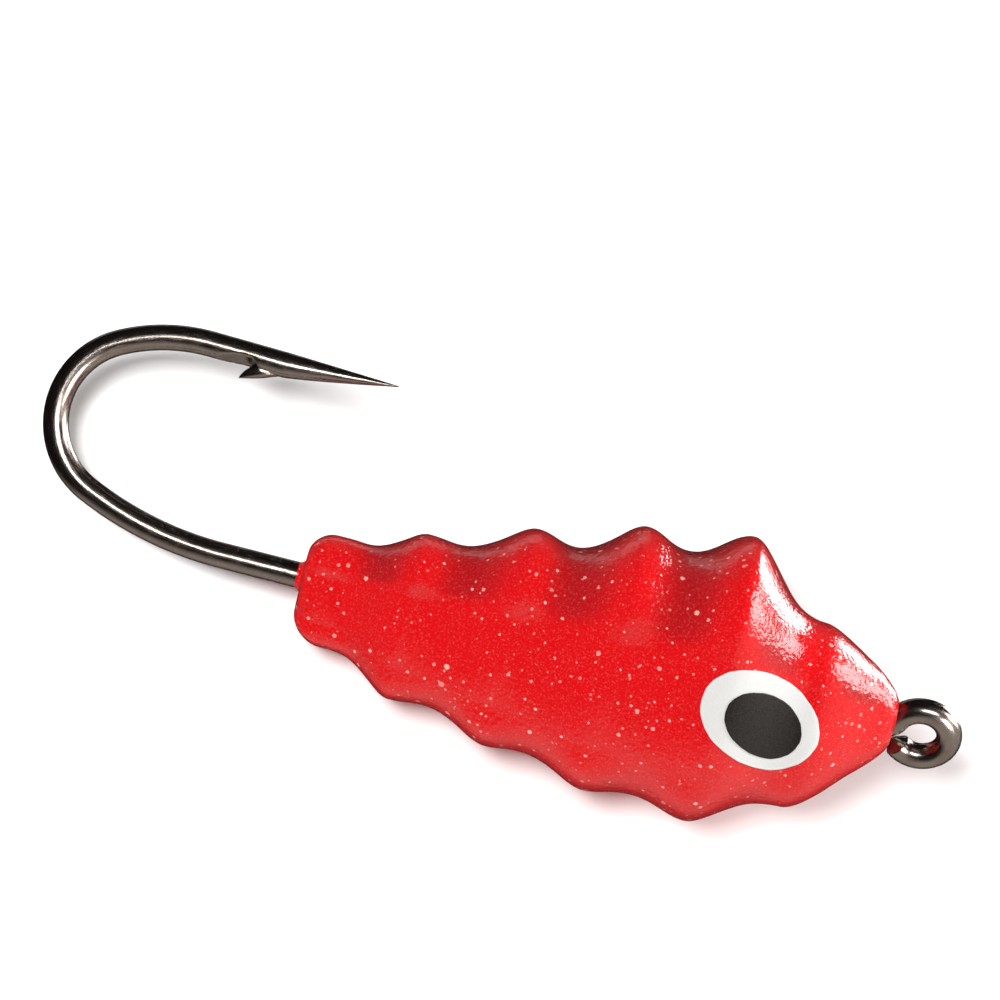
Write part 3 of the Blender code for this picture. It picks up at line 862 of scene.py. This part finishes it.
class JIG_OT_casting(bpy.types.Operator):
    """Gives the hidden casting and its base coat their finishes"""

    bl_idname = "jig.casting"
    bl_label = "Casting"

    def execute(self, context):
        lead = hidden_finish("cast_lead_alloy", "#8E9298", "#6E7278", 0.4 * MM, 1.0, 0.55)
        base = hidden_finish("sprayed_white_base_coat", "#F4F3EF", "#DEDCD6", 0.3 * MM, 0.0, 0.6)
        for name, finish in (("lead_body", lead), ("base_coat", base)):
            mesh = FRAME["nodes"][name].data
            mesh.materials.clear()
            mesh.materials.append(finish)
        return {"FINISHED"}


class JIG_OT_body(bpy.types.Operator):
    """Makes the painted body as one smooth ringed surface"""

    bl_idname = "jig.body"
    bl_label = "Painted body"

    def execute(self, context):
        body, hook = context.scene.jig_body, context.scene.jig_hook
        rows, shade_in_grooves = body_surface(body, BODY_AROUND, BODY_ALONG)
        tail, nose = end_rows(rows, hook.wire / 2)
        around = rows.shape[1]
        rows = np.concatenate([tail, rows, nose])
        shade_in_grooves = np.concatenate([np.zeros((len(tail), around)), shade_in_grooves, np.zeros((len(nose), around))])
        mesh = lofted("paint_coat", rows, rows[:, :, 0].mean(axis=1))
        # Each point carries its share of the painted groove shade, which the paint's finish reads.
        layer = mesh.attributes.new("painted_groove_shade", "FLOAT", "POINT")
        layer.data.foreach_set("value", np.append(shade_in_grooves.ravel(), (0.0, 0.0)).astype(np.float32))
        finish = glitter_paint(context.scene.jig_finish)
        add_piece("paint_coat", mesh, finish, "glitter_clear", "clear_coat", "colour_coat")
        return {"FINISHED"}


class JIG_OT_hook(bpy.types.Operator):
    """Makes the hook: one wire from the line eye to the ground point, and the raised barb"""

    bl_idname = "jig.hook"
    bl_label = "Hook"

    def execute(self, context):
        body, hook = context.scene.jig_body, context.scene.jig_hook
        line, radii, side = hook_line(hook, stations(body)[-1])
        finish = plated_wire(context.scene.jig_finish)
        wire = self.wire_rows(hook, line, radii, side)
        run = np.append(0.0, np.cumsum(np.linalg.norm(np.diff(line, axis=0), axis=1)))
        add_piece("hook_wire", lofted("hook_wire", wire, run), finish, "hook_wire", "hook")
        barb = self.barb_rows(hook)
        run = np.linspace(0.0, hook.barb_length, len(barb))
        add_piece("hook_barb", lofted("hook_barb", barb, run), finish, "hook_wire")
        return {"FINISHED"}

    @staticmethod
    def wire_rows(hook, line, radii, side):
        """A circle carried along the middle line. Where the barb was cut up from the wire, a plane slices
        the circle: the radius is the plane's distance over the cosine of the turn from its normal. The cut
        deepens towards the barb's tip and runs out under the chip."""
        cut_length, run_out, run_out_start, cut_depth = 0.85 * MM, 0.25 * MM, 0.20 * MM, 0.42
        near_leg, behind_cut, steepest = 0.3 * MM, 2.0 * MM, 0.05
        lean = math.radians(30.0)
        tangent = np.gradient(line, axis=0)
        tangent /= np.linalg.norm(tangent, axis=1)[:, None]
        other = np.cross(tangent, side)
        turn = full_turn(WIRE_AROUND)
        radius = np.repeat(radii[:, None], len(turn), axis=1)
        start, ahead, out = point_leg_frame(hook)
        cut_place = start + (hook.point_leg - hook.barb_from_tip) * ahead
        flat = np.stack([line[:, 0], line[:, 2]], axis=1)
        past = (flat - cut_place) @ ahead
        aside = np.abs((flat - start) @ out)
        on_leg = (aside < near_leg) & (past > -behind_cut)
        slope = ease((past + cut_length) / cut_length) * (1.0 - ease((past - run_out_start) / run_out))
        depth = radii * (1.0 - cut_depth * slope * on_leg)
        across, upward = np.cos(turn)[None, :, None], np.sin(turn)[None, :, None]
        circle = across * other[:, None] + upward * side[:, None]
        normal = np.array([ahead[1] * math.cos(lean), -math.sin(lean), -ahead[0] * math.cos(lean)])
        slant = circle @ normal
        radius = np.minimum(radius, depth[:, None] / np.maximum(slant, steepest))
        return line[:, None] + circle * radius[..., None]

    @staticmethod
    def barb_rows(hook):
        """A thin wedge from its tip to its root in the wire. At each share of its length its lower edge
        follows the wire's inner side and its upper edge the cut, and its section is an oval that widens."""
        rows, around, section_power = 40, 32, 0.8
        belly, buried, root_rise = 0.03 * MM, 0.15 * MM, 0.30 * MM
        upper_length, upper_power = 0.52 * MM, 0.62
        tip_width, root_width, root_start, root_narrowing = 0.012, 0.215, 0.6, 0.35
        share = np.linspace(0.0, 1.0, rows)
        inner, tip = -hook.wire / 2, hook.point_leg - hook.barb_from_tip
        fall = hook.barb_rise * (1.0 - share) + belly * np.sin(math.pi * share)
        start, ahead, out = point_leg_frame(hook)
        along = tip + share * (hook.barb_length + buried)
        low = start + along[:, None] * ahead + (inner - fall)[:, None] * out
        rise = inner - hook.barb_rise + (hook.barb_rise + root_rise) * share**upper_power
        high = start + (tip + share * upper_length)[:, None] * ahead + rise[:, None] * out
        middle, half = (low + high) / 2, (high - low) / 2
        width = (tip_width + root_width * np.sin(share * math.pi / 2) ** section_power) * MM
        width *= 1.0 - root_narrowing * ease((share - root_start) / 0.4)
        turn = full_turn(around)
        up = np.sign(np.sin(turn)) * np.abs(np.sin(turn)) ** section_power
        wide = np.sign(np.cos(turn)) * np.abs(np.cos(turn)) ** section_power
        plane = middle[:, None] + half[:, None] * up[None, :, None]
        y = width[:, None] * wide[None, :]
        return np.stack([plane[..., 0], y, plane[..., 1]], axis=2)


class JIG_OT_eyes(bpy.types.Operator):
    """Paints a white oval and a pupil on each flank"""

    bl_idname = "jig.eyes"
    bl_label = "Painted eyes"

    def execute(self, context):
        scene = context.scene
        body, eye, finish = scene.jig_body, scene.jig_eye, scene.jig_finish
        white = eye_paint("printed_white_enamel", finish.white, srgb("#BFBFBC"), 0.5)
        black = eye_paint("printed_black_enamel", finish.black, srgb("#3E3935"), 0.45)
        middle = np.array([stations(body)[-1] - eye.behind_nose, -eye.below_shank])
        ahead, down = eye.pupil_shift
        pupil = middle + np.array([ahead, -down])
        for side, word in ((1.0, "left"), (-1.0, "right")):
            for name, centre, size, base, paint, slot in (
                ("eye_white", middle, eye.white, 0.0, white, "eye_white_paint"),
                ("pupil", pupil, eye.pupil, eye.paint, black, "pupil_paint"),
            ):
                rows = self.spot_rows(body, eye, centre, size, base + 0.006 * MM, side)
                mesh = lofted(f"{name}_{word}_paint", rows, np.linspace(0.0, MM, len(rows)))
                add_piece(f"{name}_{word}_paint", mesh, paint, slot, f"{name}_{word}")
        return {"FINISHED"}

    @staticmethod
    def spot_rows(body, eye, centre, size, lift, side):
        """An oval of paint that follows the flank. Rows run out from the middle over its face, round its
        rolled edge and back under it. The outline wavers by about one part in a hundred at most."""
        rows, edge_rows, around, edge = 26, 9, 120, 0.97
        face = np.linspace(0.02, edge, rows)
        bend = np.linspace(0.0, math.pi, edge_rows)
        share = np.concatenate([face, edge + 0.03 * np.sin(bend), face[::-1]])
        top = np.concatenate([np.ones(rows), 0.5 + 0.5 * np.cos(bend), np.zeros(rows)])
        turn = full_turn(around)
        waver = 1.0 + 0.004 * np.sin(5 * turn + 0.6) + 0.0035 * np.sin(11 * turn) + 0.002 * np.sin(23 * turn)
        u = share[:, None] * waver * size[0] / 2 * np.cos(turn)
        v = share[:, None] * waver * size[1] / 2 * np.sin(turn)
        c, s = math.cos(-eye.tilt), math.sin(-eye.tilt)
        x = centre[0] + u * c - v * s
        z = centre[1] + u * s + v * c
        y, step = flank_surface(body, x, z), 0.01 * MM
        slope_x = (flank_surface(body, x + step, z) - flank_surface(body, x - step, z)) / (2 * step)
        slope_z = (flank_surface(body, x, z + step) - flank_surface(body, x, z - step)) / (2 * step)
        normal = np.stack([-slope_x, np.ones_like(x), -slope_z], axis=2)
        normal /= np.linalg.norm(normal, axis=2)[..., None]
        height = lift + eye.paint * top[:, None, None]
        points = np.stack([x, y, z], axis=2) + normal * height
        return points * np.array([1.0, side, 1.0])


class JIG_OT_stage(bpy.types.Operator):
    """Adds the floor, the soft lights and the camera"""

    bl_idname = "jig.stage"
    bl_label = "Stage"

    def execute(self, context):
        scene = context.scene
        self.floor(scene)
        self.lights(scene)
        self.camera(scene)
        scene.view_settings.view_transform = "Standard"
        return {"FINISHED"}

    @staticmethod
    def floor(scene):
        """A wide sheet that the painted part just touches. It rises in a gentle bowl at its far edge: the
        height grows with the square of the distance past a radius."""
        lowest = float(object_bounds()[0][2])
        rings, around, reach, flat_radius, steepness = 24, 96, 0.6, 0.35, 0.4
        radius = np.linspace(0.0, reach, rings + 1)[1:, None]
        turn = full_turn(around)
        z = lowest + steepness * np.maximum(radius - flat_radius, 0.0) ** 2 + 0.0 * turn
        points = np.stack([radius * np.cos(turn), radius * np.sin(turn), z], axis=2).reshape(-1, 3)
        points = np.concatenate([points, [[0.0, 0.0, lowest]]])
        quads = grid_corners(rings, around).reshape(-1, 4)[:, ::-1]
        j = np.arange(around)
        middle = np.stack([np.full(around, rings * around), j, (j + 1) % around], axis=1)
        mesh = bpy.data.meshes.new("floor")
        mesh.from_pydata(points.tolist(), [], quads.tolist() + middle.tolist())
        mesh.shade_smooth()
        mesh.materials.append(floor_finish(scene.jig_finish))
        floor = bpy.data.objects.new("floor", mesh)
        scene.collection.objects.link(floor)
        floor.visible_glossy = False
        floor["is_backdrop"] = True

    @staticmethod
    def aim(right, up, out):
        """A direction in the part's frame, from shares to the right, up and out of the camera's view."""
        view_right, view_up, view_out = JIG_OT_stage.view_axes()
        way = right * view_right + up * view_up + out * view_out
        return way / np.linalg.norm(way)

    @staticmethod
    def view_axes():
        """The camera's right, up and out directions: it looks square at the right flank, turned so that
        the nose dips."""
        dip = math.radians(NOSE_DIP)
        ahead, side, back = AXES
        right = math.cos(dip) * ahead + math.sin(dip) * back
        up = -math.sin(dip) * ahead + math.cos(dip) * back
        return right, up, -side

    def lights(self, scene):
        """Soft lights round a white table, each by its direction, distance, size, power and whether
        reflections show it. Those named for the hook light the hook alone. The room is a grey that depends
        on the direction: pale below the belly and ahead of the nose, dark elsewhere and straight behind."""
        middle = placed((6.0 * MM, 0.0, 0.5 * MM))
        for name, way, distance, size, power, mirrored in (
            ("overhead", (-0.20, 0.20, 1.0), 0.40, (0.12, 0.12), 1.95, False),
            ("shoulder_softbox", (0.76, 0.34, -0.56), 0.10, (0.045, 0.045), 0.10, True),
            ("nose_softbox", (0.93, 0.16, 0.10), 0.10, (0.045, 0.06), 0.105, True),
            ("ridge_softbox", (-0.12, 0.62, -0.62), 0.12, (0.10, 0.03), 0.006, True),
            ("hook_softbox", (0.20, 0.10, 1.0), 0.30, (0.16, 0.05), 0.70, True),
            ("hook_bend_softbox", (0.62, -0.42, 0.66), 0.30, (0.12, 0.12), 0.9, True),
        ):
            light = bpy.data.lights.new(name, "AREA")
            light.shape = "RECTANGLE"
            light.size, light.size_y = size
            light.energy = power
            lamp = bpy.data.objects.new(name, light)
            direction = Vector(self.aim(*way))
            lamp.matrix_world = Matrix.Translation(Vector(middle) + direction * distance) @ (
                direction.to_track_quat("Z", "Y").to_matrix().to_4x4()
            )
            lamp.visible_glossy = mirrored
            scene.collection.objects.link(lamp)
            if name.startswith("hook_"):
                lit = bpy.data.collections.new("lit_by_" + name)
                for piece in scene.objects:
                    if piece.type == "MESH" and piece.name.startswith("hook_"):
                        lit.objects.link(piece)
                lamp.light_linking.receiver_collection = lit
        world = bpy.data.worlds.new("studio")
        scene.world = world
        world.use_nodes = True
        tree = world.node_tree
        background = tree.nodes["Background"]
        right, up, out = self.view_axes()
        way = node(tree, "TexCoord").outputs["Generated"]
        low = node(
            tree,
            "VectorMath",
            {0: way, 1: tuple(0.50 * right - 0.80 * up - 0.45 * out)},
            operation="DOT_PRODUCT",
        )
        room = node(tree, "MapRange", {"Value": low.outputs["Value"], "From Min": 0.0, "From Max": 0.45})
        facing = node(tree, "VectorMath", {0: way, 1: tuple(out)}, operation="DOT_PRODUCT")
        not_behind = node(
            tree, "MapRange", {"Value": facing.outputs["Value"], "From Min": -0.8, "From Max": -0.3}
        )
        share = node(
            tree, "Math", {0: room.outputs["Result"], 1: not_behind.outputs["Result"]}, operation="MULTIPLY"
        )
        shade = node(
            tree,
            "Mix",
            {"Factor": share.outputs[0], "A": (*srgb("#2E2B2B"), 1.0), "B": (*srgb("#FFF6EE"), 1.0)},
            data_type="RGBA",
        )
        tree.links.new(shade.outputs["Result"], background.inputs["Color"])
        background.inputs["Strength"].default_value = 0.8

    def camera(self, scene):
        """A long lens square to the right flank."""
        right, up, out = self.view_axes()
        lens, wide = 0.200, 25.0 * MM
        camera = bpy.data.cameras.new("camera")
        camera.lens, camera.sensor_width = lens / MM, 36.0
        camera.clip_start, camera.clip_end = 0.01, 5.0
        distance = wide * camera.lens / camera.sensor_width
        seat = placed((4.30 * MM, 0.0, 3.06 * MM)) + out * distance
        turn = Matrix((right, up, out)).transposed().to_4x4()
        made = bpy.data.objects.new("camera", camera)
        made.matrix_world = Matrix.Translation(Vector(seat)) @ turn
        scene.collection.objects.link(made)
        scene.camera = made


OPERATORS = (JIG_OT_casting, JIG_OT_body, JIG_OT_hook, JIG_OT_eyes, JIG_OT_stage)
GROUPS = {
    "jig_body": JigBodySizes,
    "jig_hook": JigHookSizes,
    "jig_eye": JigEyeSizes,
    "jig_finish": JigFinish,
}


class JIG_PT_panel(bpy.types.Panel):
    """Lists the jig head's pieces"""

    bl_idname = "JIG_PT_panel"
    bl_label = "Jig head"
    bl_space_type = "VIEW_3D"
    bl_region_type = "UI"
    bl_category = "Jig head"

    def draw(self, context):
        for operator in OPERATORS:
            self.layout.operator(operator.bl_idname)
        for name in GROUPS:
            settings = getattr(context.scene, name)
            box = self.layout.box()
            for key in settings.bl_rna.properties.keys():
                if key not in {"rna_type", "name"}:
                    box.prop(settings, key)


def register():
    """Registers the settings, the operators and the panel."""
    for group in GROUPS.values():
        bpy.utils.register_class(group)
    for name, group in GROUPS.items():
        setattr(bpy.types.Scene, name, bpy.props.PointerProperty(type=group))
    for operator in OPERATORS:
        bpy.utils.register_class(operator)
    bpy.utils.register_class(JIG_PT_panel)


def unregister():
    """Takes away all that register adds."""
    bpy.utils.unregister_class(JIG_PT_panel)
    for operator in reversed(OPERATORS):
        bpy.utils.unregister_class(operator)
    for name in GROUPS:
        delattr(bpy.types.Scene, name)
    for group in reversed(list(GROUPS.values())):
        bpy.utils.unregister_class(group)


def main():
    """Builds the whole scene, one operator at a time."""
    register()
    bpy.ops.jig.casting()
    bpy.ops.jig.body()
    bpy.ops.jig.hook()
    bpy.ops.jig.eyes()
    bpy.ops.jig.stage()


if __name__ == "__main__":
    main()
